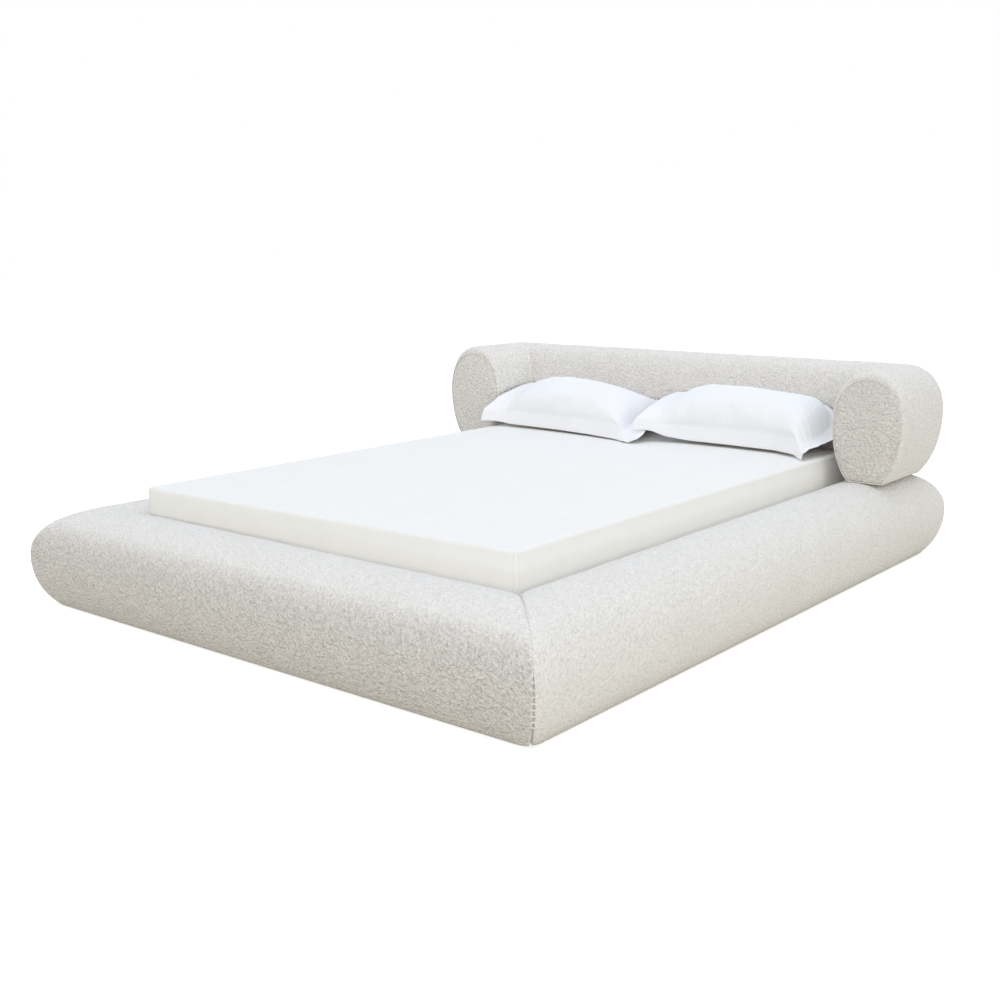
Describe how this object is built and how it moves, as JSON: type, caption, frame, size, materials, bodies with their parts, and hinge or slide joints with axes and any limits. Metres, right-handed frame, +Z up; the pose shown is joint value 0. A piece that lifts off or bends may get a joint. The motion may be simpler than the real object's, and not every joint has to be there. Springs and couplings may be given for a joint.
{
  "type": "upholstered bed",
  "caption": "Low upholstered bed with round boucle bolster rails mitred at the corners, a bolster headboard with short side returns, a slatted base, a made mattress and flanged pillows.",
  "frame": {"origin": "on the floor under the middle of the bed's overall length and width", "axes": "+X across the bed to the right as seen from the foot, +Y from the foot to the head, +Z up"},
  "size_m": [2.141, 2.62, 0.735],
  "materials": {
    "boucle": "matte",
    "boucle_piping": "matte",
    "pine": "matte",
    "pine_slats": "matte",
    "plywood": "matte",
    "cotton_tape": "matte",
    "nylon": "matte",
    "coated_steel": "matte",
    "zinc_steel": "satin",
    "ticking": "matte",
    "cotton_sheet": "matte",
    "pillow_ticking": "matte",
    "cotton_pillowcase": "matte"
  },
  "bodies": {
    "bed_frame": {"foot_rail_timber": "pine", "left_rail_timber": "pine", "right_rail_timber": "pine", "head_rail_timber": "pine", "foot_rail_cover": "boucle", "left_rail_cover": "boucle", "right_rail_cover": "boucle", "head_rail_cover": "boucle", "corner_plates": "coated_steel", "corner_bolts": "zinc_steel", "corner_nuts": "zinc_steel", "rail_glides": "nylon", "left_slat_ledge": "pine", "right_slat_ledge": "pine", "ledge_screws": "zinc_steel", "centre_beam": "pine", "beam_hangers": "coated_steel", "hanger_screws": "zinc_steel", "front_centre_leg": "pine", "rear_centre_leg": "pine", "left_slat_tape": "cotton_tape", "right_slat_tape": "cotton_tape", "headboard_back_frame": "plywood", "left_arm_frame": "plywood", "right_arm_frame": "plywood", "headboard_cover": "boucle", "left_end_panel": "boucle", "right_end_panel": "boucle", "left_piping": "boucle_piping", "right_piping": "boucle_piping", "headboard_posts": "coated_steel", "headboard_bolts": "zinc_steel", "headboard_nuts": "zinc_steel", "slat_1": "pine_slats", "slat_2": "pine_slats", "slat_3": "pine_slats", "slat_4": "pine_slats", "slat_5": "pine_slats", "slat_6": "pine_slats", "slat_7": "pine_slats", "slat_8": "pine_slats", "slat_9": "pine_slats", "slat_10": "pine_slats", "slat_11": "pine_slats", "slat_12": "pine_slats", "slat_13": "pine_slats"},
    "made_mattress": {"mattress": "ticking", "fitted_sheet": "cotton_sheet"},
    "left_dressed_pillow": {"left_pillow": "pillow_ticking", "left_pillowcase": "cotton_pillowcase"},
    "right_dressed_pillow": {"right_pillow": "pillow_ticking", "right_pillowcase": "cotton_pillowcase"},
    "front_foot_pad": {"front_levelling_pad": "nylon"},
    "front_foot_stem": {"front_levelling_stem": "zinc_steel"},
    "rear_foot_pad": {"rear_levelling_pad": "nylon"},
    "rear_foot_stem": {"rear_levelling_stem": "zinc_steel"}
  },
  "joints": [
    {"name": "mattress_lift", "type": "slide", "parent": "bed_frame", "child": "made_mattress", "axis": [0, 0, 1], "range_m": [0, 0.5]},
    {"name": "left_pillow_lift", "type": "slide", "parent": "made_mattress", "child": "left_dressed_pillow", "axis": [0, 0, 1], "range_m": [0, 0.35]},
    {"name": "right_pillow_lift", "type": "slide", "parent": "made_mattress", "child": "right_dressed_pillow", "axis": [0, 0, 1], "range_m": [0, 0.35]},
    {"name": "front_foot_travel", "type": "slide", "parent": "bed_frame", "child": "front_foot_pad", "axis": [0, 0, -1], "range_m": [0, 0.012]},
    {"name": "front_stem_turn", "type": "hinge", "parent": "front_foot_pad", "child": "front_foot_stem", "pos_m": [0, -0.3565, 0.02], "axis": [0, 0, -1], "range_deg": [0, 2880]},
    {"name": "rear_foot_travel", "type": "slide", "parent": "bed_frame", "child": "rear_foot_pad", "axis": [0, 0, -1], "range_m": [0, 0.012]},
    {"name": "rear_stem_turn", "type": "hinge", "parent": "rear_foot_pad", "child": "rear_foot_stem", "pos_m": [0, 0.4035, 0.02], "axis": [0, 0, -1], "range_deg": [0, 2880]}
  ],
  "couplings": [
    {"joint": "front_stem_turn", "follows": "front_foot_travel", "rad_per_m": 4188.8},
    {"joint": "rear_stem_turn", "follows": "rear_foot_travel", "rad_per_m": 4188.8}
  ]
}
